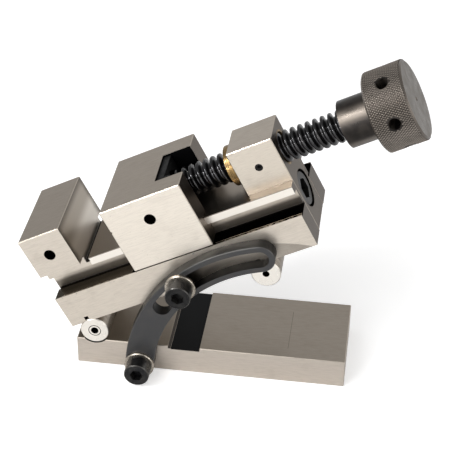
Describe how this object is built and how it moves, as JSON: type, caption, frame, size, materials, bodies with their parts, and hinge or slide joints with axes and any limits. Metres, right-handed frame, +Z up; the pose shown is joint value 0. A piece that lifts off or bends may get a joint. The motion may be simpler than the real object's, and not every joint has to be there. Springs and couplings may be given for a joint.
{
  "type": "sine vise",
  "caption": "Screw vise on a tilting sine base, with two rollers, an arc link that locks the angle, a sliding jaw and a knurled knob.",
  "frame": {"origin": "middle of the base plate's bottom face", "axes": "+Z up, square to the base plate; +X along the base towards the knob end; the arc link is on the -Y side"},
  "size_m": [0.2011, 0.0667, 0.1766],
  "materials": {
    "ground_steel": "surface-ground hardened steel, satin with fine straight grain",
    "roller_steel": "cylindrically ground steel, fine satin",
    "zinc_steel": "plain bright washer steel",
    "bronze": "turned bearing bronze",
    "black_oxide_steel": "oiled black oxide on steel"
  },
  "bodies": {
    "base": {"base_plate": "ground_steel", "link_pivot_screw": "black_oxide_steel", "link_pivot_washer": "zinc_steel"},
    "link": {"arc_link": "black_oxide_steel"},
    "vise": {"vise_body": "ground_steel", "rollers": "roller_steel", "vise_screws": "black_oxide_steel", "nut_block": "ground_steel", "spindle_nut": "bronze", "clamp_washer": "zinc_steel"},
    "jaw": {"movable_jaw": "ground_steel", "retainer": "black_oxide_steel"},
    "screw": {"spindle": "black_oxide_steel", "knob": "black_oxide_steel"}
  },
  "joints": [
    {"name": "sine_tilt", "type": "hinge", "parent": "base", "child": "vise", "pos_m": [-0.0608, 0, 0.0217], "axis": [0, -1, 0], "range_deg": [-26.4, 17.5]},
    {"name": "link_swing", "type": "hinge", "parent": "base", "child": "link", "pos_m": [-0.036, -0.0286, 0.008], "axis": [0, -1, 0], "range_deg": [-31.2, 20.7]},
    {"name": "jaw_slide", "type": "slide", "parent": "vise", "child": "jaw", "axis": [0.887, 0, 0.4617], "range_m": [-0.024, 0.0235]},
    {"name": "screw_turn", "type": "hinge", "parent": "jaw", "child": "screw", "pos_m": [0.02228, 0, 0.12199], "axis": [0.887, 0, 0.4617], "range_deg": [-2161, 2116]}
  ],
  "couplings": [
    {"joint": "link_swing", "follows": "sine_tilt", "ratio": 1.18},
    {"joint": "screw_turn", "follows": "jaw_slide", "rad_per_m": 1570.8}
  ]
}
